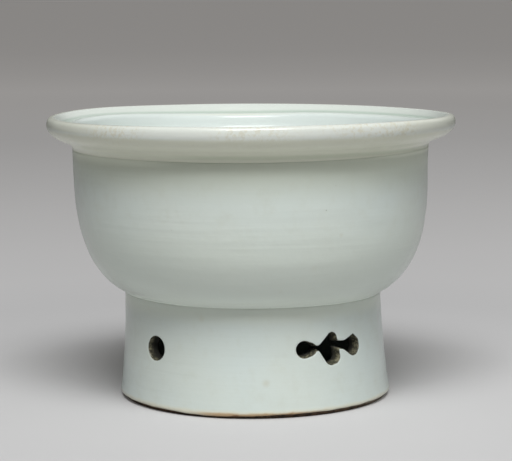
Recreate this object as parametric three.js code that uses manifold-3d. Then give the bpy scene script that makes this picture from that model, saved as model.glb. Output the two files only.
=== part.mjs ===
// Porcelain bowl on a tall pierced foot.
//
// The potter throws four pieces of white clay and joins them while they are leather hard:
// a round cup, a wide dished rim that stands out from the cup's wall, a tall ring for the foot,
// and a soft coil of clay pressed into the corner under the cup. Glaze covers all but the foot's
// edge. The foot is pierced by two cloud-shaped openings and two round holes.
//
// Millimetres, +Z up. The origin is the centre of the foot's base, and one cloud faces -Y.

import * as THREE from "three";
import { ConvexGeometry } from "three/addons/geometries/ConvexGeometry.js";
import { mergeVertices } from "three/addons/utils/BufferGeometryUtils.js";
import Module from "manifold-3d";

const wasm = await Module();
wasm.setup();

// Foot
const foot_height = 42.2;
const foot_base_radius = 55.0;
const foot_neck_radius = 52.1;
const foot_wall = 5.0;
const foot_flare_height = 25.5;
const foot_outer_bevel = 1.2;
const foot_inner_bevel = 0.9;
const foot_straight_top = 9.0;

// Cup
const cup_height = 58.7;
const cup_radius = 71.9;
const cup_wall = 5.4;
const cup_floor = 6.2;
const cup_swell_out = 8.9;
const cup_swell_up = 4.3;
const cup_shoulder_drop = 12.9;
const cup_shoulder_inset = 0.3;
const cup_side_fullness = 30.0;
const cup_floor_radius = 36.0;
const cup_floor_corner = 22.0;
const cup_inner_fullness = 24.0;

// Rim
const rim_height = 13.3;
const rim_overhang = 10.6;
const rim_edge_inset = 1.6;
const rim_edge_rise = 5.7;
const rim_root_width = 2.1;
const rim_root_rise = 2.6;
const rim_tip_drop = 3.4;
const rim_lip_inset = 3.0;
const rim_groove_inset = 4.0;
const rim_groove_depth = 3.7;
const rim_groove_fullness = 1.0;
const rim_shelf_width = 4.4;
const rim_shelf_drop = 0.9;
const rim_turn_width = 2.2;

// Coil of clay in the corner between the cup's underside and the foot
const coil_leg = 4.6;
const coil_hollow = 1.1;

// Piercings, each drilled and then opened with a knife. The radii are those at the foot's face,
// and the taper is how much of the radius is lost for each millimetre into the wall
const piercing_height = 25.2;
const round_hole_height = 24.5;
const round_hole_radius = 4.75;
const round_hole_turn = -82;
const drilling_taper = 0.14;
const drilling_tip = 0.1;
const drilling_start = 0.5;
const drilling_overrun = 4.0;
const drilling_sides = 18;

// Drillings of one cloud: how far across and up from its middle, and the radius
const cloud_drillings = {
  wing: { across: -12.3, up: 0.7, radius: 3.3 },
  wing_root: { across: -9.8, up: 0.6, radius: 2.5 },
  waist: { across: -7.6, up: 0.8, radius: 0.85 },
  heart: { across: -5.7, up: 0.8, radius: 0.85 },
  crown: { across: 0.2, up: 4.1, radius: 2.3 },
  base: { across: -0.6, up: -3.1, radius: 3.1 },
  base_side: { across: 1.0, up: -3.1, radius: 2.75 },
  neck: { across: 2.2, up: 1.4, radius: 1.5 },
  throat: { across: 6.6, up: 0.75, radius: 1.55 },
  fan_corner: { across: 11.7, up: 4.1, radius: 0.3 },
  fan_edge: { across: 13.7, up: 1.4, radius: 1.0 },
  fan_foot: { across: 11.4, up: -0.4, radius: 3.5 },
};

// Knife cuts of one cloud: each frees the clay between the drillings that it names
const cloud_cuts = [
  ["wing", "wing_root", "waist"],
  ["waist", "heart"],
  ["heart", "crown", "base", "base_side"],
  ["neck", "throat"],
  ["throat", "fan_corner", "fan_edge", "fan_foot"],
];

// Fineness of the faceted surfaces
const round_segments = 72;
const cup_curve_steps = 13;
const rim_curve_steps = 5;
const foot_curve_steps = 4;
const coil_curve_steps = 3;

// Sizes that follow from the ones above
const foot_inner_radius = foot_neck_radius - foot_wall;
const cup_inner_radius = cup_radius - cup_wall;
const crease_height = foot_height + cup_height;
const lip_height = crease_height + rim_height;

function revolve(outline, curve_steps) {
  const profile = outline.getPoints(curve_steps);
  const geometry = new THREE.LatheGeometry(profile, round_segments);
  geometry.rotateX(Math.PI / 2);
  return geometry;
}

// The cup: flat where it sits on the foot, a full round belly, then a nearly upright wall
function cupGeometry() {
  const shoulder_height = crease_height - cup_shoulder_drop;
  const shoulder_radius = cup_radius - cup_shoulder_inset;
  const inner_shoulder_radius = cup_inner_radius - cup_shoulder_inset;
  const floor_height = foot_height + cup_floor;
  const outline = new THREE.Path();
  outline.moveTo(0, foot_height);
  outline.lineTo(foot_neck_radius, foot_height);
  outline.bezierCurveTo(
    foot_neck_radius + cup_swell_out, foot_height + cup_swell_up,
    shoulder_radius, shoulder_height - cup_side_fullness,
    shoulder_radius, shoulder_height,
  );
  outline.lineTo(cup_radius, crease_height);
  outline.lineTo(cup_inner_radius, crease_height);
  outline.lineTo(inner_shoulder_radius, shoulder_height);
  outline.bezierCurveTo(
    inner_shoulder_radius, shoulder_height - cup_inner_fullness,
    cup_floor_radius + cup_floor_corner, floor_height,
    cup_floor_radius, floor_height,
  );
  outline.lineTo(0, floor_height);
  return revolve(outline, cup_curve_steps);
}

// The rim: a hollowed underside, a rounded lip, a groove, and a shelf that turns down to the wall
function rimGeometry() {
  const tip_radius = cup_radius + rim_overhang;
  const tip_height = lip_height - rim_tip_drop;
  const edge_radius = tip_radius - rim_edge_inset;
  const edge_height = crease_height + rim_edge_rise;
  const lip_radius = tip_radius - rim_lip_inset;
  const groove_radius = lip_radius - rim_groove_inset;
  const groove_height = lip_height - rim_groove_depth;
  const shelf_radius = groove_radius - rim_shelf_width;
  const shelf_height = groove_height - rim_shelf_drop;
  const outline = new THREE.Path();
  outline.moveTo(cup_inner_radius, crease_height);
  outline.lineTo(cup_radius, crease_height);
  outline.quadraticCurveTo(
    cup_radius + rim_root_width, crease_height + rim_root_rise,
    edge_radius, edge_height,
  );
  outline.quadraticCurveTo(
    tip_radius, edge_height + rim_edge_inset,
    tip_radius, tip_height,
  );
  outline.quadraticCurveTo(tip_radius, lip_height, lip_radius, lip_height);
  outline.quadraticCurveTo(
    (lip_radius + groove_radius) / 2, lip_height - rim_groove_fullness,
    groove_radius, groove_height,
  );
  outline.quadraticCurveTo(
    (groove_radius + shelf_radius) / 2, groove_height,
    shelf_radius, shelf_height,
  );
  outline.quadraticCurveTo(
    shelf_radius - rim_turn_width, shelf_height,
    cup_inner_radius, crease_height,
  );
  return revolve(outline, rim_curve_steps);
}

// The coil: a hollow-faced fillet of clay around the inside corner of the foot
function coilGeometry() {
  const outline = new THREE.Path();
  outline.moveTo(foot_inner_radius, foot_height - coil_leg);
  outline.lineTo(foot_inner_radius, foot_height);
  outline.lineTo(foot_inner_radius - coil_leg, foot_height);
  outline.quadraticCurveTo(
    foot_inner_radius - coil_hollow, foot_height - coil_hollow,
    foot_inner_radius, foot_height - coil_leg,
  );
  return revolve(outline, coil_curve_steps);
}

// The foot before it is pierced: a ring that flares to a flat, bevelled base
function footRingGeometry() {
  const flare = foot_base_radius - foot_neck_radius;
  const outline = new THREE.Path();
  outline.moveTo(foot_base_radius - foot_wall + foot_inner_bevel, 0);
  outline.lineTo(foot_base_radius - foot_outer_bevel, 0);
  outline.lineTo(foot_base_radius, foot_outer_bevel);
  outline.quadraticCurveTo(
    foot_neck_radius, foot_flare_height,
    foot_neck_radius, foot_height,
  );
  outline.lineTo(foot_inner_radius, foot_height);
  outline.lineTo(foot_inner_radius, foot_height - foot_straight_top);
  outline.lineTo(foot_inner_radius + flare, foot_inner_bevel);
  outline.closePath();
  return revolve(outline, foot_curve_steps);
}

function toSolid(geometry) {
  geometry.deleteAttribute("normal");
  geometry.deleteAttribute("uv");
  const welded = mergeVertices(geometry);
  return new wasm.Manifold(new wasm.Mesh({
    numProp: 3,
    vertProperties: welded.attributes.position.array,
    triVerts: welded.index.array,
  }));
}

function toGeometry(solid) {
  const mesh = solid.getMesh();
  const geometry = new THREE.BufferGeometry();
  geometry.setAttribute("position", new THREE.BufferAttribute(mesh.vertProperties, 3));
  geometry.setIndex(new THREE.BufferAttribute(mesh.triVerts, 1));
  geometry.computeVertexNormals();
  return geometry;
}

// The clay that one cut takes away: a tapered plug around the drillings, pointing out along -Y
function cutPlug(drillings, height) {
  const outside = Math.max(foot_base_radius, foot_neck_radius) + drilling_start;
  const inside = foot_inner_radius - drilling_overrun;
  const widening = drilling_taper * (outside - foot_neck_radius);
  const narrowing = drilling_taper * (foot_neck_radius - inside);
  const points = [];
  for (const drilling of drillings) {
    for (let side = 0; side < drilling_sides; side += 1) {
      const angle = (side / drilling_sides) * 2 * Math.PI;
      for (const [depth, radius] of [
        [outside, drilling.radius + widening],
        [inside, Math.max(drilling.radius - narrowing, drilling_tip)],
      ]) {
        points.push(new THREE.Vector3(
          drilling.across + radius * Math.cos(angle), -depth,
          height + drilling.up + radius * Math.sin(angle),
        ));
      }
    }
  }
  return new ConvexGeometry(points);
}

function pierce(solid, plug, turn) {
  plug.rotateZ(THREE.MathUtils.degToRad(turn));
  return solid.subtract(toSolid(plug));
}

// The foot with its openwork: each opening has a twin on the far side
function piercedFootGeometry() {
  let foot = toSolid(footRingGeometry());
  const round_hole = { across: 0, up: 0, radius: round_hole_radius };
  for (const half_turn of [0, 180]) {
    for (const names of cloud_cuts) {
      const drillings = names.map((name) => cloud_drillings[name]);
      foot = pierce(foot, cutPlug(drillings, piercing_height), half_turn);
    }
    foot = pierce(foot, cutPlug([round_hole], round_hole_height), half_turn + round_hole_turn);
  }
  return toGeometry(foot);
}

function piece(name, geometry, color, roughness) {
  const material = new THREE.MeshStandardMaterial({ color, roughness, metalness: 0 });
  const mesh = new THREE.Mesh(geometry, material);
  mesh.name = name;
  return mesh;
}

const group = new THREE.Group();
group.add(piece("cup", cupGeometry(), 0xd3ddd6, 0.16));
group.add(piece("dished_rim", rimGeometry(), 0xd8dfd5, 0.18));
group.add(piece("pierced_foot", piercedFootGeometry(), 0xccd6cd, 0.2));
group.add(piece("joining_coil", coilGeometry(), 0xc6cfc5, 0.3));

export default group;
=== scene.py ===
import math

import bmesh
import bpy
import numpy as np
from mathutils import Matrix, Vector
from mathutils.geometry import convex_hull_2d


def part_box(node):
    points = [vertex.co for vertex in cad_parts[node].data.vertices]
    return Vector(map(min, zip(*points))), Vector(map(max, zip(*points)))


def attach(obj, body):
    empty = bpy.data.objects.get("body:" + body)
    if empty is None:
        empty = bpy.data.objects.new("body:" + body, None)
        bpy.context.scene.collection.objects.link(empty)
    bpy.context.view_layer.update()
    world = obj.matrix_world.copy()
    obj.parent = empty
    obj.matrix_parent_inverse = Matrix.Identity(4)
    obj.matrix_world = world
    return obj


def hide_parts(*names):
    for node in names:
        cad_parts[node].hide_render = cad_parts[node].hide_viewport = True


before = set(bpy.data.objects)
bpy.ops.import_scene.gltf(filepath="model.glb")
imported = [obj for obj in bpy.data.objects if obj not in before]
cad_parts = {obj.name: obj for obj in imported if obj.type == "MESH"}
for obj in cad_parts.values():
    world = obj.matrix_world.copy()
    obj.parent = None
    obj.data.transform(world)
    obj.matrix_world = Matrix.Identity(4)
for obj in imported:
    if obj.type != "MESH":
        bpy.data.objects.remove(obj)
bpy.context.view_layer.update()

MM = 0.001
TAU = 2 * math.pi

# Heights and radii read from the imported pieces, in millimetres
foot_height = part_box("pierced_foot")[1][2] / MM
foot_base_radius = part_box("pierced_foot")[1][0] / MM
crease_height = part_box("cup")[1][2] / MM
cup_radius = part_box("cup")[1][0] / MM
lip_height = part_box("dished_rim")[1][2] / MM
rim_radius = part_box("dished_rim")[1][0] / MM
coil_leg = foot_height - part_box("joining_coil")[0][2] / MM
foot_inner_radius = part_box("joining_coil")[1][0] / MM

# Sizes of the form, as in the solids, in millimetres
foot_neck_radius = 52.1
foot_wall = foot_neck_radius - foot_inner_radius
foot_flare_height = 25.5
foot_straight_top = 9.0
cup_wall = 5.4
cup_floor = 6.2
cup_floor_radius = 36.0
cup_floor_corner = 22.0
cup_inner_fullness = 24.0
shoulder_drop = 12.9
shoulder_inset = 0.3
coil_hollow = 1.1
piercing_height = 25.2
round_hole_height = 24.5
round_hole_radius = 4.75
round_hole_turn = math.radians(-82)
bore_taper = 0.14

# Room kept inside the solids' box for the warp and the waver below
lip_headroom = 0.72
rim_clearance = 0.1

# Sizes that follow from the ones above
cup_inner_radius = cup_radius - cup_wall
cup_floor_height = foot_height + cup_floor
shoulder_height = crease_height - shoulder_drop
mean_lip_height = lip_height - lip_headroom
rim_tip_radius = rim_radius - rim_clearance

# Fineness of the turned surfaces
round_segments = 288
coil_segments = 144

# The photograph's camera, fitted to the outline: metres, radians, and millimetres for the lens
camera_sensor = 36
camera_turn = math.radians(-35.3)
camera_distance = 0.7969
camera_height = 0.1634
camera_side = 0.0017
camera_pitch = 0.1213
camera_roll = 0.0060
camera_lens = 138.8


# Curves: each gives points (radius, height) along one stretch of an outline

def bezier(p0, p1, p2, p3, steps):
    t = np.linspace(0, 1, steps + 1)[:, None]
    p0, p1, p2, p3 = (np.array(p, float) for p in (p0, p1, p2, p3))
    return (1 - t) ** 3 * p0 + 3 * (1 - t) ** 2 * t * p1 + 3 * (1 - t) * t ** 2 * p2 + t ** 3 * p3


def bend(p0, p1, p2, steps):
    t = np.linspace(0, 1, steps + 1)[:, None]
    p0, p1, p2 = (np.array(p, float) for p in (p0, p1, p2))
    return (1 - t) ** 2 * p0 + 2 * (1 - t) * t * p1 + t ** 2 * p2


def straight(p0, p1, steps):
    t = np.linspace(0, 1, steps + 1)[:, None]
    return (1 - t) * np.array(p0, float) + t * np.array(p1, float)


def through(points, steps):
    """A smooth line that passes through every point given."""
    points = np.array(points, float)
    ends = np.concatenate([[2 * points[0] - points[1]], points, [2 * points[-1] - points[-2]]])
    parts = []
    for p0, p1, p2, p3 in zip(ends[:-3], ends[1:-2], ends[2:-1], ends[3:]):
        parts.append(bezier(p1, p1 + (p2 - p0) / 6, p2 - (p3 - p1) / 6, p2, steps))
    return join(*parts)


def join(*stretches):
    return np.concatenate([stretches[0]] + [stretch[1:] for stretch in stretches[1:]])


# The hand of the potter and the pull of the kiln, in millimetres

def waver(turn, height):
    """How far the real pot stands off a true round."""
    out = 0.16 * np.cos(2 * turn + 0.7) + 0.10 * np.cos(3 * turn + 2.1)
    out += 0.05 * np.sin(5 * turn + 0.11 * height)
    out += 0.035 * np.sin(height / 1.7 + 0.6 * turn) * np.cos(turn - 0.4)
    at_rim = np.clip((height - crease_height) / 3, 0, 1)
    return out * (1 - 0.6 * at_rim) - 0.1 * at_rim


# How far each level has slipped to the right of the camera
slip_heights = [0, foot_height, 50, 62, 74, 82, crease_height - 6, lip_height]
slip_sideways = [1.1, 0.15, 0.3, 0.25, -0.1, -0.25, -0.5, 0.0]


def around(turn, degrees, values, blur):
    """A smooth value from a table of angles to the right of the camera."""
    off = np.degrees(turn - camera_turn)
    near = [np.interp(off + shift, degrees, values, period=360) for shift in np.linspace(-blur, blur, 7)]
    return np.mean(near, axis=0)


# How far the joints and the lip have warped up or down in the kiln
neck_warp = ([-90, -57, -26, 0, 20, 48, 90, 180], [1.0, 0.95, 0.6, 0.75, 0.6, 0.3, 0.2, 0.5])
crease_warp = ([-180, -80, -32, 0, 31, 76, 120], [0.0, 0.25, -0.2, -0.3, 0.0, 1.1, 0.3])
groove_warp = ([-180, -150, -125, -90, 90, 125, 160], [-1.0, -0.3, 0.4, 0.5, 0.0, 0.0, -0.1])
lip_warp = (
    [-150, -138, -122, -90, -63, -43, -21, 0, 15, 40, 62, 90, 108, 128, 160],
    [0.0, 0.25, 0.45, -0.15, -0.25, 0.0, 0.4, 0.5, 0.7, 0.7, 0.5, 0.0, -0.4, -0.45, -0.25],
)


def warp(turn, radius, height):
    """How far a point has moved up: each joint's warp fades out toward the levels beside it."""
    levels = [34, foot_height, 62, 84, crease_height, mean_lip_height - 4]
    at_neck = around(turn, *neck_warp, 10) * np.interp(height, levels, [0, 1, 0, 0, 0, 0])
    at_crease = around(turn, *crease_warp, 15) * np.interp(height, levels, [0, 0, 0, 0, 1, 0])
    at_lip = around(turn, *lip_warp, 10) * np.interp(height, levels, [0, 0, 0, 0, 0, 1])
    inner_half = np.interp(radius, [75.5, 79], [1, 0]) * np.interp(height, [106, 109.5], [0, 1])
    return at_neck + at_crease + at_lip + around(turn, *groove_warp, 10) * inner_half


def place(turn, radius, height):
    """Points in metres for angles around from -Y, radii and heights in millimetres."""
    turn, radius, height = np.broadcast_arrays(turn, radius, height)
    radius = radius + waver(turn, height) * np.clip(radius / 30, 0, 1)
    slip = np.interp(height, slip_heights, slip_sideways)
    x = radius * np.sin(turn) + slip * math.cos(camera_turn)
    y = -radius * np.cos(turn) + slip * math.sin(camera_turn)
    return np.stack([x, y, height + warp(turn, radius, height)], -1).reshape(-1, 3) * MM


def new_piece(name, verts, faces):
    mesh = bpy.data.meshes.new(name)
    mesh.from_pydata([tuple(v) for v in verts], [], faces)
    mesh.validate()
    mesh.polygons.foreach_set("use_smooth", [True] * len(mesh.polygons))
    mesh.update()
    piece = bpy.data.objects.new(name, mesh)
    bpy.context.scene.collection.objects.link(piece)
    return piece


def bridge(low, high):
    """Quads between two rings of vertex numbers; a ring of one is a point on the axis."""
    faces = []
    count = max(len(low), len(high))
    for i in range(count):
        j = (i + 1) % count
        if len(low) == 1:
            faces.append((low[0], high[j], high[i]))
        elif len(high) == 1:
            faces.append((low[i], low[j], high[0]))
        else:
            faces.append((low[i], low[j], high[j], high[i]))
    return faces


def revolve(name, profile, segments=round_segments):
    """A closed mesh turned from an outline that ends on the axis or closes on itself."""
    closed = profile[0][0] > 0
    if closed:
        profile = profile[:-1]
    turns = np.arange(segments) / segments * TAU
    verts, rings = [], []
    for radius, height in profile:
        ring = place(turns, radius, height) if radius > 0 else place(0, 0, height)
        rings.append(list(range(len(verts), len(verts) + len(ring))))
        verts.extend(ring)
    faces = []
    for low, high in zip(rings[:-1], rings[1:]):
        faces += bridge(low, high)
    if closed:
        faces += bridge(rings[-1], rings[0])
    return new_piece(name, verts, faces)


# Outlines of the turned pieces

def cup_profile():
    neck, low = foot_neck_radius, foot_height
    side = cup_radius - shoulder_inset
    inner = cup_inner_radius - shoulder_inset
    tuck = (neck - 0.4, low - 0.35)
    skirt = (neck + 0.03, low - 0.35)
    leave = (neck + 0.5, low + 0.2)
    return join(
        straight((0, low), (tuck[0], low), 12),
        straight((tuck[0], low), tuck, 1),
        straight(tuck, skirt, 1),
        bend(skirt, (neck + 0.05, low + 0.05), leave, 5),
        bezier(leave, (neck + 9.2, low + 4.4), (side, shoulder_height - 29.5), (side, shoulder_height), 64),
        straight((side, shoulder_height), (cup_radius, crease_height), 10),
        straight((cup_radius, crease_height), (cup_inner_radius, crease_height), 4),
        straight((cup_inner_radius, crease_height), (inner, shoulder_height), 10),
        bezier(
            (inner, shoulder_height), (inner, shoulder_height - cup_inner_fullness),
            (cup_floor_radius + cup_floor_corner, cup_floor_height), (cup_floor_radius, cup_floor_height), 52,
        ),
        straight((cup_floor_radius, cup_floor_height), (0, cup_floor_height), 16),
    )


# The rim's face: inward from its widest point, and down from its top
rim_face = [
    (10.5, 13.1), (10.4, 12.6), (10.15, 12.0), (9.8, 11.5), (9.3, 11.0), (8.6, 10.55), (7.4, 10.0),
    (6.2, 9.5), (5.0, 9.0), (4.0, 8.5), (3.1, 8.0), (2.4, 7.5), (1.8, 6.9), (1.2, 6.2), (0.6, 5.3),
    (0.2, 4.4), (0.0, 3.3), (0.03, 2.4), (0.12, 1.8), (0.3, 1.2), (0.6, 0.7), (1.0, 0.35), (1.6, 0.1),
    (2.3, 0.0), (3.0, 0.05), (3.5, 0.22), (4.0, 0.55), (4.6, 1.03), (5.2, 1.6), (5.8, 2.15), (6.3, 2.55),
    (6.75, 2.85), (7.2, 3.0), (8.2, 3.1), (9.2, 3.05), (10.2, 3.0), (11.0, 3.3), (11.6, 3.8), (12.0, 4.45),
    (12.25, 5.2), (12.55, 6.4), (12.9, 7.9), (13.5, 9.6), (14.6, 11.2), (15.85, 12.5),
]


def rim_profile():
    wall, outside = cup_inner_radius, cup_radius - 0.3
    face = [(rim_tip_radius - inward, mean_lip_height - down) for inward, down in rim_face]
    return join(
        straight((wall, crease_height), (outside, crease_height), 4),
        straight((outside, crease_height), (outside, face[0][1]), 1),
        straight((outside, face[0][1]), face[0], 1),
        through(face, 6),
        straight(face[-1], (wall, crease_height), 2),
    )


def coil_profile():
    inner, top = foot_inner_radius, foot_height
    return join(
        straight((inner, top - coil_leg), (inner, top), 4),
        straight((inner, top), (inner - coil_leg, top), 4),
        bend((inner - coil_leg, top), (inner - coil_hollow, top - coil_hollow), (inner, top - coil_leg), 12),
    )


# The pierced foot

outer_curve = bend(
    (foot_base_radius, 1.2), (foot_neck_radius, foot_flare_height), (foot_neck_radius, foot_height), 80,
)
inner_curve = join(
    straight((foot_base_radius - foot_wall, 0.9), (foot_inner_radius, foot_height - foot_straight_top), 20),
    straight((foot_inner_radius, foot_height - foot_straight_top), (foot_inner_radius, foot_height), 4),
)


def outer_radius(height):
    return np.interp(height, outer_curve[:, 1], outer_curve[:, 0])


def inner_radius(height):
    return np.interp(height, inner_curve[:, 1], inner_curve[:, 0])


# Drillings of one cloud: across and up from its middle, and the radius
cloud_drillings = {
    "wing": (-12.3, 0.7, 3.3),
    "wing_root": (-9.8, 0.6, 2.5),
    "waist": (-7.6, 0.8, 0.85),
    "heart": (-5.7, 0.8, 0.85),
    "crown": (0.2, 4.1, 2.3),
    "base": (-0.6, -3.1, 3.1),
    "base_side": (1.0, -3.1, 2.75),
    "neck": (2.2, 1.4, 1.5),
    "throat": (6.6, 0.75, 1.55),
    "fan_corner": (11.7, 4.1, 0.3),
    "fan_edge": (13.7, 1.4, 1.0),
    "fan_foot": (11.4, -0.4, 3.5),
}

# Knife cuts of one cloud: each frees the clay between the drillings that it names
cloud_cuts = [
    ("wing", "wing_root", "waist"),
    ("waist", "heart"),
    ("heart", "crown", "base", "base_side"),
    ("neck", "throat"),
    ("throat", "fan_corner", "fan_edge", "fan_foot"),
]
drilling_sides = 40
cut_blend = 0.7
bore_edge_blend = 0.55
bore_margin = 1.3

# Half of the angle, in radians, within which a cloud or a round hole is looked for
cloud_reach = 0.6
hole_reach = 0.4
far_off = 9.0


def smooth_min(a, b, blend):
    near = np.clip(1 - np.abs(a - b) / blend, 0, 1)
    return np.minimum(a, b) - blend / 4 * near ** 2


def cut_distance(across, up, names):
    """Distance outside one knife cut, which is the hull of the drillings that it joins."""
    edges = []
    for name in names:
        x, y, radius = cloud_drillings[name]
        for side in range(drilling_sides):
            angle = side * TAU / drilling_sides
            edges.append((x + radius * math.cos(angle), y + radius * math.sin(angle)))
    corners = [edges[k] for k in convex_hull_2d([Vector(p) for p in edges])]
    middle = np.mean(corners, axis=0)
    out = np.full(np.shape(across), -1e9)
    for (x0, y0), (x1, y1) in zip(corners, corners[1:] + corners[:1]):
        length = math.hypot(x1 - x0, y1 - y0)
        if length < 1e-6:
            continue
        nx, ny = (y1 - y0) / length, -(x1 - x0) / length
        if nx * (middle[0] - x0) + ny * (middle[1] - y0) > 0:
            nx, ny = -nx, -ny
        out = np.maximum(out, nx * (across - x0) + ny * (up - y0))
    return out


def hole_distance(turn, height):
    """Distance outside the nearest opening, measured along the foot's outer face."""
    face = outer_radius(height)
    out = np.full(np.broadcast(turn, height).shape, far_off)
    for half_turn in (0, math.pi):
        off = (turn - half_turn + math.pi) % TAU - math.pi
        facing = np.abs(off) < cloud_reach
        across = face * np.sin(off)
        up = height - piercing_height
        cloud = np.full(out.shape, far_off)
        for names in cloud_cuts:
            cloud = smooth_min(cloud, cut_distance(across, up, names), cut_blend)
        out = np.where(facing, np.minimum(out, cloud), out)
        off = (turn - half_turn - round_hole_turn + math.pi) % TAU - math.pi
        facing = np.abs(off) < hole_reach
        drilled = np.hypot(face * np.sin(off) * 0.98, height - round_hole_height) - round_hole_radius
        out = np.where(facing, np.minimum(out, drilled), out)
    return out


def spaced(low, high, step):
    return list(np.linspace(low, high, max(2, round((high - low) / step) + 1))[:-1])


def foot_columns():
    """Angles around the foot: close together at the openings, wide apart elsewhere."""
    fine, coarse = 0.34 / 53, 2.0 / 53
    cloud_left, cloud_right, hole_side = 0.33, 0.34, 0.12
    stops = []
    for half_turn in (0, math.pi):
        hole = (round_hole_turn + half_turn) % TAU
        stops += [((half_turn - cloud_left) % TAU, fine), ((half_turn + cloud_right) % TAU, coarse)]
        stops += [((hole - hole_side) % TAU, fine), ((hole + hole_side) % TAU, coarse)]
    stops.sort()
    stops.append((stops[0][0] + TAU, stops[0][1]))
    turns = []
    for (start, step), (end, _) in zip(stops[:-1], stops[1:]):
        turns += spaced(start, end, step)
    return np.array(turns)


def surface_net(turns, heights, depths, field):
    """Vertices (turn, height, depth) and quads where the field changes sign; turns wrap round."""
    turn_end = np.append(turns[1:], turns[0] + TAU)
    corner = {}
    for a in (0, 1):
        for b in (0, 1):
            for c in (0, 1):
                value = np.roll(field, -a, axis=0)
                value = value[:, b:len(heights) - 1 + b, c:len(depths) - 1 + c]
                t = (turn_end if a else turns)[:, None, None] + np.zeros(value.shape)
                h = heights[b:len(heights) - 1 + b][None, :, None] + np.zeros(value.shape)
                d = depths[c:len(depths) - 1 + c][None, None, :] + np.zeros(value.shape)
                corner[a, b, c] = (value, np.stack([t, h, d], -1))
    total = np.zeros(corner[0, 0, 0][1].shape)
    count = np.zeros(corner[0, 0, 0][0].shape)
    for key, (value, point) in corner.items():
        for axis in range(3):
            if key[axis]:
                continue
            other = list(key)
            other[axis] = 1
            value_b, point_b = corner[tuple(other)]
            crossing = (value < 0) != (value_b < 0)
            step = np.where(crossing, value / np.where(crossing, value - value_b, 1), 0)
            total += np.where(crossing[..., None], point + step[..., None] * (point_b - point), 0)
            count += crossing
    used = count > 0
    number = np.full(used.shape, -1)
    number[used] = np.arange(used.sum())
    points = total[used] / count[used][:, None]
    inside = field < 0
    before = np.roll(number, 1, axis=0)
    crossings = [
        (
            (inside[:, :, :-1] != inside[:, :, 1:])[:, 1:-1],
            (before[:, :-1], number[:, :-1], number[:, 1:], before[:, 1:]),
        ),
        (
            (inside != np.roll(inside, -1, axis=0))[:, 1:-1, 1:-1],
            (number[:, :-1, :-1], number[:, 1:, :-1], number[:, 1:, 1:], number[:, :-1, 1:]),
        ),
        (
            (inside[:, :-1] != inside[:, 1:])[:, :, 1:-1],
            (before[:, :, :-1], number[:, :, :-1], number[:, :, 1:], before[:, :, 1:]),
        ),
    ]
    quads = [np.stack([cells[change] for cells in beside], -1) for change, beside in crossings]
    return points, np.concatenate(quads), number


# How far the glaze's lower edge stands off the table
edge_lifts = (
    [-180, -120, -90, -60, -45, -34, -22, -12, 0, 12, 35, 60, 90, 130],
    [0.8, 1.0, 1.4, 1.5, 1.3, 1.15, 0.75, 0.9, 1.15, 1.4, 1.55, 1.6, 1.5, 1.0],
)


def edge_lift(turn):
    return around(turn, *edge_lifts, 4) + 0.05 * np.sin(23 * turn) + 0.04 * np.sin(41 * turn + 1)


# The foot's edge, as radii and heights from the inner wall out to the bare ring
bare_edge = [
    (foot_base_radius - foot_wall + 0.3, 0.9), (foot_base_radius - foot_wall + 0.7, 0.25),
    (foot_base_radius - foot_wall + 1.0, 0), (foot_base_radius - 2.8, 0), (foot_base_radius - 1.9, 0),
]

# The rounded lower edge of the glaze: inward from the base radius, up, and share of the edge's lift
glaze_edge = [
    (1.85, 0.02, 0.35), (1.75, 0.03, 0.75), (1.6, 0.02, 1.0), (1.0, 0.02, 1.0), (0.55, 0.06, 1.0),
    (0.22, 0.22, 1.0), (0.05, 0.5, 0.98), (0.0, 0.9, 0.92), (0.02, 1.5, 0.8), (0.14, 2.3, 0.6),
]

# Above it, the lift dies out up the wall: height and share
fading_lift = [(3.2, 0.4), (4.4, 0.2), (5.8, 0.05)]

# The stretch of the wall that holds the openings, and its layers from the outer face to the inner
pierced_heights = np.linspace(16.5, 34.5, 55)
near_face = [-0.2, 0.2, 0.5, 0.8, 1.15, 1.6, 2.2]
pierced_depths = np.array(near_face + [foot_wall - depth for depth in reversed(near_face)])


def bored_wall(turns):
    """The pierced stretch as a surface net, its edges rounded where a bore meets a face."""
    depth = pierced_depths[None, None, :]
    slab = np.maximum(-depth, depth - foot_wall)
    hole = hole_distance(turns[:, None], pierced_heights[None, :])[:, :, None] + bore_taper * depth
    return surface_net(turns, pierced_heights, pierced_depths, -smooth_min(-slab, hole, bore_edge_blend))


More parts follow.
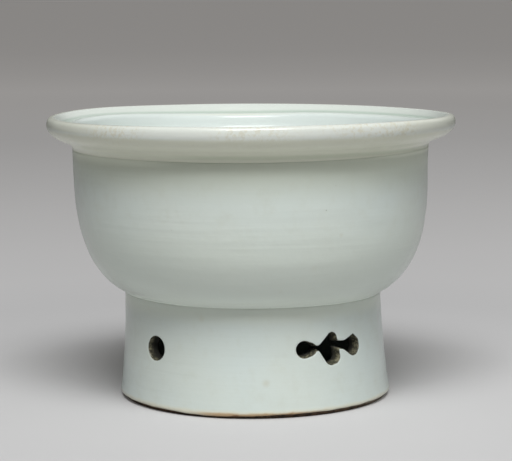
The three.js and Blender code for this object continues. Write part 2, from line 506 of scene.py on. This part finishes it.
def pierced_foot():
    turns = foot_columns()
    points, quads, number = bored_wall(turns)
    outer, inner = outer_radius(points[:, 1]), inner_radius(points[:, 1])
    radii = outer - points[:, 2] / foot_wall * (outer - inner)
    verts = list(place(points[:, 0], radii, points[:, 1]))
    faces = [tuple(int(v) for v in quad) for quad in quads]
    middles = (turns + np.append(turns[1:], turns[0] + TAU)) / 2
    low, high = np.mean(pierced_heights[:2]), np.mean(pierced_heights[-2:])

    def ring(radius, height, lift=0.0):
        ring_verts = place(middles, radius, height + lift * edge_lift(middles))
        start = len(verts)
        verts.extend(ring_verts)
        return list(range(start, start + len(ring_verts)))

    def net_ring(row, layer):
        return [int(v) for v in number[:, row, layer]]

    def sew(rings):
        for lower, upper in zip(rings[:-1], rings[1:]):
            faces.extend(bridge(lower, upper))

    below = [net_ring(0, -1)]
    below += [ring(inner_radius(height), height) for height in np.linspace(low, 2.0, 16)[1:]]
    below += [ring(radius, height) for radius, height in bare_edge]
    below += [ring(foot_base_radius - inward, height, lift) for inward, height, lift in glaze_edge]
    below += [ring(outer_radius(height), height, lift) for height, lift in fading_lift]
    below += [ring(outer_radius(height), height) for height in np.linspace(7.2, low, 10)[:-1]]
    sew(below + [net_ring(0, 0)])
    above = [net_ring(-1, 0)]
    above += [ring(outer_radius(height), height) for height in np.linspace(high, foot_height, 10)[1:]]
    above += [ring(radius, foot_height) for radius in np.linspace(foot_neck_radius, foot_inner_radius, 5)[1:]]
    above += [ring(inner_radius(height), height) for height in np.linspace(foot_height, high, 10)[1:-1]]
    sew(above + [net_ring(-1, -1)])

    foot = new_piece("glazed_foot", verts, faces)
    near = hole_distance(points[:, 0], points[:, 1])
    soften_bores(foot, [int(v) for v in np.nonzero(near < bore_margin)[0]])
    return foot


def soften_bores(foot, verts):
    bores = foot.vertex_groups.new(name="bores")
    bores.add(verts, 1.0, "REPLACE")
    shape = bmesh.new()
    shape.from_mesh(foot.data)
    bmesh.ops.recalc_face_normals(shape, faces=shape.faces)
    shape.to_mesh(foot.data)
    shape.free()
    soften = foot.modifiers.new("soften", "SMOOTH")
    soften.factor = 0.5
    soften.iterations = 2
    soften.vertex_group = "bores"
    apply_modifiers(foot)


def apply_modifiers(piece):
    depsgraph = bpy.context.evaluated_depsgraph_get()
    mesh = bpy.data.meshes.new_from_object(piece.evaluated_get(depsgraph))
    old = piece.data
    piece.modifiers.clear()
    piece.data = mesh
    bpy.data.meshes.remove(old)
    mesh.name = piece.name


# Materials

class Look:
    """A procedural material, built up one layer at a time in object coordinates, in metres."""

    def __init__(self, name):
        self.material = bpy.data.materials.new(name)
        self.material.use_nodes = True
        self.nodes = self.material.node_tree.nodes
        self.links = self.material.node_tree.links
        self.shader = self.nodes["Principled BSDF"]
        self.place = self.nodes.new("ShaderNodeTexCoord").outputs["Object"]
        split = self.nodes.new("ShaderNodeSeparateXYZ")
        self.links.new(self.place, split.inputs["Vector"])
        self.height = split.outputs["Z"]
        flat = self.nodes.new("ShaderNodeCombineXYZ")
        self.links.new(split.outputs["X"], flat.inputs["X"])
        self.links.new(split.outputs["Y"], flat.inputs["Y"])
        length = self.nodes.new("ShaderNodeVectorMath")
        length.operation = "LENGTH"
        self.links.new(flat.outputs["Vector"], length.inputs[0])
        self.radius = length.outputs["Value"]
        self.flat = flat.outputs["Vector"]

    def feed(self, value, socket):
        """Links a socket, or sets a constant number or colour on it directly."""
        if isinstance(value, (int, float)):
            socket.default_value = value
        elif isinstance(value, tuple):
            socket.default_value = (*value, 1)
        else:
            self.links.new(value, socket)

    def outward(self):
        """How squarely the surface faces away from the axis: 1 straight out, -1 straight in."""
        toward = self.nodes.new("ShaderNodeVectorMath")
        toward.operation = "NORMALIZE"
        self.links.new(self.flat, toward.inputs[0])
        facing = self.nodes.new("ShaderNodeVectorMath")
        facing.operation = "DOT_PRODUCT"
        self.links.new(toward.outputs["Vector"], facing.inputs[0])
        self.links.new(self.nodes.new("ShaderNodeNewGeometry").outputs["Normal"], facing.inputs[1])
        return facing.outputs["Value"]

    def toward_camera(self, degrees):
        """How far out the point lies on the side of the photograph, turned a little to the right."""
        turn = camera_turn + math.radians(degrees)
        ahead = self.nodes.new("ShaderNodeVectorMath")
        ahead.operation = "DOT_PRODUCT"
        self.links.new(self.flat, ahead.inputs[0])
        ahead.inputs[1].default_value = (math.sin(turn), -math.cos(turn), 0)
        return ahead.outputs["Value"]

    def math(self, operation, a, b=0.0, c=0.0):
        node = self.nodes.new("ShaderNodeMath")
        node.operation = operation
        for value, socket in zip((a, b, c), node.inputs):
            self.feed(value, socket)
        return node.outputs["Value"]

    def ramp(self, value, low, high, to_low=0.0, to_high=1.0):
        node = self.nodes.new("ShaderNodeMapRange")
        node.interpolation_type = "SMOOTHSTEP"
        self.feed(value, node.inputs["Value"])
        for name, number in (("From Min", low), ("From Max", high), ("To Min", to_low), ("To Max", to_high)):
            node.inputs[name].default_value = number
        return node.outputs["Result"]

    def noise(self, scale, detail=3.0, rough=0.5, where=None):
        node = self.nodes.new("ShaderNodeTexNoise")
        self.links.new(where or self.place, node.inputs["Vector"])
        node.inputs["Scale"].default_value = scale
        node.inputs["Detail"].default_value = detail
        node.inputs["Roughness"].default_value = rough
        return node.outputs["Fac"]

    def stretched(self, across, along):
        node = self.nodes.new("ShaderNodeMapping")
        node.inputs["Scale"].default_value = (across, across, along)
        self.links.new(self.place, node.inputs["Vector"])
        return node.outputs["Vector"]

    def spots(self, scale, size, share, soft=0.5):
        """Round spots: cells per metre, spot radius in cell widths, and the share of cells with one."""
        node = self.nodes.new("ShaderNodeTexVoronoi")
        node.inputs["Scale"].default_value = scale
        self.links.new(self.place, node.inputs["Vector"])
        pick = self.nodes.new("ShaderNodeSeparateColor")
        self.links.new(node.outputs["Color"], pick.inputs["Color"])
        chosen = self.math("LESS_THAN", pick.outputs["Red"], share)
        size_here = self.math("MULTIPLY_ADD", pick.outputs["Green"], size * 0.7, size * 0.5)
        reach = self.math("DIVIDE", node.outputs["Distance"], size_here)
        return self.math("MULTIPLY", self.ramp(reach, 1.0, 1.0 - soft), chosen)

    def both(self, a, b):
        return self.math("MULTIPLY", a, b)

    def band(self, value, low, high, soft):
        """1 between two values, with soft ends."""
        rise = self.ramp(value, low - soft, low + soft)
        fall = self.ramp(value, high + soft, high - soft)
        return self.both(rise, fall)

    def mix(self, amount, under, over):
        node = self.nodes.new("ShaderNodeMix")
        node.data_type = "RGBA"
        self.feed(amount, node.inputs[0])
        self.feed(under, node.inputs[6])
        self.feed(over, node.inputs[7])
        return node.outputs[2]

    def finish(self, colour, rough, relief, gloss=0.42):
        """Wires up the shader; relief lists (height value, depth in metres)."""
        self.links.new(colour, self.shader.inputs["Base Color"])
        self.feed(rough, self.shader.inputs["Roughness"])
        self.feed(gloss, self.shader.inputs["Specular IOR Level"])
        normal = None
        for value, depth in relief:
            bump = self.nodes.new("ShaderNodeBump")
            bump.inputs["Strength"].default_value = 1.0
            bump.inputs["Distance"].default_value = depth
            self.links.new(value, bump.inputs["Height"])
            if normal:
                self.links.new(normal, bump.inputs["Normal"])
            normal = bump.outputs["Normal"]
        self.links.new(normal, self.shader.inputs["Normal"])
        self.shader.inputs["IOR"].default_value = 1.5
        return self.material


iron = (0.10, 0.075, 0.05)
pool = (0.44, 0.53, 0.465)


def glaze_base(look, body, cool):
    """Colour, roughness and relief that every glazed piece shares."""
    drift = look.ramp(look.noise(20, 2), 0.3, 0.7)
    colour = look.mix(drift, body, cool)
    mottle = look.ramp(look.noise(170, 4, 0.6), 0.45, 0.75, 0, 0.22)
    colour = look.mix(mottle, colour, (0.56, 0.59, 0.50))
    rings = look.noise(60, 3, 0.5, look.stretched(0.25, 6.0))
    halo = look.spots(110, 0.22, 0.10, 0.9)
    colour = look.mix(look.both(halo, 0.35), colour, (0.50, 0.47, 0.34))
    specks = look.spots(150, 0.055, 0.10, 0.5)
    colour = look.mix(look.both(specks, 0.75), colour, iron)
    pinholes = look.spots(260, 0.09, 0.05, 0.7)
    colour = look.mix(look.both(pinholes, 0.5), colour, (0.30, 0.30, 0.24))
    rough = look.ramp(look.noise(90, 3), 0.3, 0.7, 0.19, 0.25)
    pits = look.math("SUBTRACT", 0.0, pinholes)
    relief = [(look.noise(420, 2), 0.00004), (look.noise(70, 2), 0.00012), (rings, 0.00012), (pits, 0.0001)]
    return colour, rough, relief


def cup_look():
    look = Look("cup_glaze_look")
    colour, rough, relief = glaze_base(look, (0.66, 0.715, 0.66), (0.645, 0.715, 0.675))
    inside = look.ramp(look.radius, (cup_radius - 2.5) * MM, (cup_radius - 3.5) * MM)
    inside = look.both(inside, look.ramp(look.height, (shoulder_height - 4) * MM, (shoulder_height + 2) * MM))
    # Painted shade: a warmer, olive tint over the band below the rim, standing for the warm light in the
    # rim's shade.
    painted_warm_shade = look.ramp(look.height, (crease_height - 18) * MM, (crease_height - 3) * MM, 0, 0.7)
    colour = look.mix(painted_warm_shade, colour, (0.64, 0.685, 0.565))
    # Painted light: the lower belly made paler for the light thrown up from the floor.
    painted_floor_bounce = look.ramp(look.height, (foot_height + 40) * MM, (foot_height + 20) * MM, 0, 0.72)
    colour = look.mix(painted_floor_bounce, colour, (0.715, 0.775, 0.70))
    # Painted light: paler still just above the neck, for the same floor light.
    low = look.ramp(look.height, (foot_height + 7) * MM, (foot_height + 1) * MM, 0, 0.8)
    colour = look.mix(low, colour, (0.80, 0.86, 0.78))
    # Painted shade: the wall just below the rim darkened and tinted olive where the rim's shadow falls,
    # partly also glaze pooled under the rim.
    shade_and_pool_under_rim = look.ramp(look.height, (crease_height - 7) * MM, (crease_height - 1.5) * MM, 0, 0.42)
    colour = look.mix(shade_and_pool_under_rim, colour, (0.50, 0.53, 0.42))
    # Painted light: the shade just below the rim made paler toward the bowl's sides.
    painted_light_below_crease = look.ramp(look.height, (crease_height - 5) * MM, (crease_height - 1) * MM, 0, 0.8)
    painted_light_below_crease = look.both(painted_light_below_crease, look.ramp(look.toward_camera(-75), 0.040, 0.062))
    colour = look.mix(painted_light_below_crease, colour, (0.80, 0.84, 0.72))
    # Painted light: the dark crease right under the rim made paler, more at the sides than in front.
    joint = look.ramp(look.height, (crease_height - 2.0) * MM, (crease_height - 0.4) * MM)
    joint = look.both(joint, look.ramp(look.toward_camera(0), 0.068, 0.040, 0.2, 0.9))
    colour = look.mix(joint, colour, (0.82, 0.86, 0.74))
    colour = look.mix(inside, colour, (0.665, 0.73, 0.71))
    crease = look.band(look.height, foot_height * MM, (foot_height + 0.7) * MM, 0.0003)
    crease_pits = look.both(look.spots(330, 0.3, 0.16, 0.5), crease)
    colour = look.mix(look.both(crease_pits, 0.8), colour, (0.16, 0.15, 0.11))
    return look.finish(colour, rough, relief)


def rim_look():
    look = Look("rim_glaze_look")
    colour, rough, relief = glaze_base(look, (0.72, 0.755, 0.70), (0.70, 0.755, 0.715))
    inward = look.math("SUBTRACT", rim_tip_radius * MM, look.radius)
    down = look.math("SUBTRACT", mean_lip_height * MM, look.height)
    on_top = look.ramp(down, 0.0048, 0.0040)
    sideways_on = look.ramp(look.toward_camera(0), 0.070, 0.045)
    slope = look.both(look.band(inward, 0.0034, 0.0066, 0.0006), on_top)
    colour = look.mix(slope, colour, (0.645, 0.69, 0.645))
    inner = look.ramp(inward, 0.0085, 0.0125)
    colour = look.mix(inner, colour, (0.675, 0.735, 0.715))
    groove = look.both(look.ramp(inward, 0.0055, 0.0068), look.ramp(inward, 0.0120, 0.0082))
    colour = look.mix(look.both(look.both(groove, on_top), 0.85), colour, pool)
    outer = look.ramp(inward, 0.0038, 0.0020)
    lip = look.both(outer, look.ramp(down, 0.0046, 0.0030))
    colour = look.mix(lip, colour, (0.665, 0.695, 0.645))
    patches = look.both(outer, look.ramp(look.noise(14, 2), 0.42, 0.62))
    worn = look.both(look.ramp(look.noise(650, 4, 0.7), 0.46, 0.62), patches)
    colour = look.mix(look.both(worn, 0.5), colour, (0.52, 0.47, 0.31))
    stain = look.both(look.spots(420, 0.25, 0.3, 0.9), patches)
    colour = look.mix(look.both(stain, 0.45), colour, (0.36, 0.32, 0.17))
    colour = look.mix(look.both(look.both(lip, sideways_on), 0.35), colour, (0.48, 0.48, 0.36))
    off_wall = look.ramp(inward, 0.0118, 0.0114)
    # Painted shade: a warmer, yellower tint on the rim's outer face and underside, standing for the warm
    # light in the rim's shade.
    face = look.both(look.ramp(down, 0.0036, 0.0052), off_wall)
    colour = look.mix(look.both(face, 0.85), colour, (0.725, 0.735, 0.60))
    # Painted reflection: the ridge along the rim's lower edge made paler toward the sides, standing for the
    # bright floor seen in the glaze.
    painted_ridge_reflection = look.both(look.ramp(down, 0.0054, 0.0068), off_wall)
    painted_ridge_reflection = look.both(painted_ridge_reflection, look.ramp(look.toward_camera(0), 0.060, 0.025))
    colour = look.mix(look.both(painted_ridge_reflection, 0.9), colour, (0.86, 0.87, 0.75))
    # Painted shade: the fillet where the rim meets the wall darkened and tinted olive, most at the sides,
    # partly also glaze pooled there.
    fillet_shade_and_pool = look.both(look.band(down, 0.0108, 0.0124, 0.0006), off_wall)
    fillet_shade_and_pool = look.both(fillet_shade_and_pool, look.ramp(look.toward_camera(-75), 0.055, 0.030, 0.3, 0.9))
    colour = look.mix(fillet_shade_and_pool, colour, (0.58, 0.62, 0.49))
    gloss = look.math("MULTIPLY_ADD", outer, 0.05, 0.31)
    return look.finish(colour, look.math("MULTIPLY_ADD", worn, 0.015, rough), relief, gloss)


def foot_look():
    look = Look("foot_glaze_look")
    colour, rough, relief = glaze_base(look, (0.655, 0.715, 0.665), (0.64, 0.715, 0.685))
    # Painted light: the top of the foot made paler against the shadow that the cup's belly casts on it.
    neck = look.ramp(look.height, (foot_height - 8) * MM, (foot_height - 2) * MM, 0, 0.5)
    colour = look.mix(neck, colour, (0.76, 0.81, 0.69))
    facing_out = look.outward()
    # Painted shade in the openings: their walls are painted near black, darker still deeper in, with lighter
    # olive streaks as painted glints; some of the darkness is dirt.
    bored = look.both(look.ramp(facing_out, 0.93, 0.62), look.ramp(facing_out, -0.95, -0.7))
    pierced = look.both(bored, look.band(look.height, 0.015, 0.036, 0.002))
    painted_glint_streaks = look.ramp(look.noise(700, 3, 0.6), 0.42, 0.7)
    painted_bore_shade = look.mix(painted_glint_streaks, (0.05, 0.046, 0.03), (0.25, 0.235, 0.15))
    painted_deep_shade = look.ramp(look.radius, (foot_neck_radius - 0.6) * MM, (foot_neck_radius - 2.8) * MM)
    painted_bore_shade = look.mix(painted_deep_shade, painted_bore_shade, (0.02, 0.018, 0.014))
    colour = look.mix(look.both(pierced, 0.97), colour, painted_bore_shade)
    ragged = look.math("MULTIPLY_ADD", look.noise(130, 4, 0.6), -0.0016, look.height)
    facing = look.ramp(look.toward_camera(2), 0.047, 0.053)
    cream = look.ramp(ragged, 0.0030, 0.0010)
    colour = look.mix(look.both(cream, 0.6), colour, (0.68, 0.62, 0.44))
    tan = look.both(look.ramp(ragged, 0.0019, 0.0009), facing)
    colour = look.mix(look.both(tan, 0.8), colour, (0.42, 0.25, 0.11))
    rust = look.both(look.ramp(ragged, 0.0013, 0.0006), facing)
    rust = look.both(look.ramp(look.noise(160, 3), 0.5, 0.65), rust)
    colour = look.mix(look.both(rust, 0.8), colour, (0.20, 0.09, 0.04))
    # The bare foot ring: dark burnt clay, painted darker still as the contact shade under the foot's edge.
    under = look.ramp(look.radius, (foot_base_radius - 0.5) * MM, (foot_base_radius - 1.1) * MM)
    low = look.ramp(look.height, 0.0020, 0.0012)
    bare = look.both(under, low)
    clay = look.mix(look.ramp(look.noise(260, 4, 0.7), 0.35, 0.65), (0.05, 0.035, 0.025), (0.16, 0.10, 0.06))
    colour = look.mix(bare, colour, clay)
    rough = look.math("MULTIPLY_ADD", bare, 0.6, rough)
    return look.finish(colour, rough, relief)


def coil_look():
    look = Look("coil_glaze_look")
    colour, rough, relief = glaze_base(look, (0.50, 0.53, 0.45), (0.46, 0.50, 0.43))
    fingers = look.noise(45, 2)
    return look.finish(colour, rough, relief + [(fingers, 0.0005)])


def dress(piece, material, node):
    piece.data.materials.clear()
    piece.data.materials.append(material)
    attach(piece, "root")
    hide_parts(node)


dress(revolve("glazed_cup", cup_profile()), cup_look(), "cup")
dress(revolve("glazed_rim", rim_profile()), rim_look(), "dished_rim")
coil = revolve("pressed_coil", coil_profile(), coil_segments)
dress(coil, coil_look(), "joining_coil")
dress(pierced_foot(), foot_look(), "pierced_foot")


# Stage: one plain sheet under the bowl, turned to face the camera

facing_camera = Matrix.Rotation(camera_turn, 4, "Z")

# Camera-only glow painted on the paper, by the distance from the bowl in metres: painted light that lifts the
# floor's shadow near the bowl and stands in for lamp light beyond the lamp's reach
glow_reach = 4.5
sheet_half = 30
glow_steps = [
    (0.0, 0.035), (0.1, 0.045), (0.16, 0.026), (0.24, 0.026), (0.33, 0.065), (0.45, 0.088), (0.7, 0.11),
    (1.0, 0.12), (1.4, 0.136), (1.9, 0.186), (2.45, 0.222), (3.2, 0.208), (4.5, 0.198),
]


def paper():
    look = Look("studio_paper")
    grain = look.ramp(look.noise(900, 2), 0.3, 0.7, 0, 0.03)
    colour = look.mix(grain, (0.52, 0.52, 0.525), (0.44, 0.44, 0.44))
    look.finish(colour, 0.75, [(look.noise(1500, 2), 0.00001)], 0.12)
    # Painted light: the glow shows to the camera only, and lights nothing.
    glow = look.nodes.new("ShaderNodeValToRGB")
    stops = glow.color_ramp.elements
    while len(stops) < len(glow_steps):
        stops.new(0.5)
    for stop, (reach, level) in zip(stops, glow_steps):
        stop.position = reach / glow_reach
        stop.color = (level, level * 0.955, level * 0.92, 1)
    look.links.new(look.math("DIVIDE", look.radius, glow_reach), glow.inputs["Fac"])
    look.links.new(glow.outputs["Color"], look.shader.inputs["Emission Color"])
    seen = look.nodes.new("ShaderNodeLightPath").outputs["Is Camera Ray"]
    look.links.new(seen, look.shader.inputs["Emission Strength"])
    look.material.cycles.emission_sampling = "NONE"
    return look.material


def backdrop():
    corners = [(x * sheet_half, y * sheet_half, 0) for x, y in ((-1, -1), (1, -1), (1, 1), (-1, 1))]
    sheet = new_piece("studio_sheet", corners, [(0, 1, 2, 3)])
    sheet.data.materials.append(paper())


lamp_target = Vector((0, 0, 0.06))


def softbox(name, turn, rise, distance, width, depth, power, spread=180):
    """A flat lamp, by its angles in degrees to the right of the camera and above the table."""
    lamp = bpy.data.lights.new(name, "AREA")
    lamp.shape = "RECTANGLE"
    lamp.size = width
    lamp.size_y = depth
    lamp.energy = power
    lamp.spread = math.radians(spread)
    holder = bpy.data.objects.new(name, lamp)
    turn, rise = math.radians(turn), math.radians(rise)
    toward = Vector((math.sin(turn) * math.cos(rise), -math.cos(turn) * math.cos(rise), math.sin(rise)))
    aim = facing_camera @ toward
    holder.location = lamp_target + aim * distance
    holder.rotation_euler = (-aim).to_track_quat("-Z", "Y").to_euler()
    bpy.context.scene.collection.objects.link(holder)


backdrop()
softbox("key", turn=1, rise=58, distance=1.6, width=0.82, depth=0.7, power=27.5)
softbox("fill", turn=47, rise=42, distance=1.9, width=1.2, depth=1.0, power=4.0)
softbox("behind", turn=155, rise=32, distance=2.0, width=2.0, depth=1.0, power=1.5, spread=130)

# The room's own light, and what the camera sees of the room beyond the sheet
room_light = (0.088, 0.088, 0.085, 1)
room_seen = (0.243, 0.229, 0.218, 1)

world = bpy.data.worlds.new("studio")
world.use_nodes = True
surround = world.node_tree.nodes["Background"]
seen = world.node_tree.nodes.new("ShaderNodeLightPath").outputs["Is Camera Ray"]
blend = world.node_tree.nodes.new("ShaderNodeMix")
blend.data_type = "RGBA"
blend.inputs[6].default_value = room_light
blend.inputs[7].default_value = room_seen
world.node_tree.links.new(seen, blend.inputs[0])
world.node_tree.links.new(blend.outputs[2], surround.inputs["Color"])
surround.inputs["Strength"].default_value = 1.0
bpy.context.scene.world = world

camera = bpy.data.cameras.new("photo_view")
camera.lens = camera_lens
camera.sensor_width = camera_sensor
camera.clip_start = 0.05
viewer = bpy.data.objects.new("photo_view", camera)
bpy.context.scene.collection.objects.link(viewer)
viewer.matrix_world = (
    facing_camera
    @ Matrix.Translation((camera_side, -camera_distance, camera_height))
    @ Matrix.Rotation(math.pi / 2 - camera_pitch, 4, "X")
    @ Matrix.Rotation(-camera_roll, 4, "Z")
)
bpy.context.scene.camera = viewer
bpy.context.scene.view_settings.view_transform = "Standard"
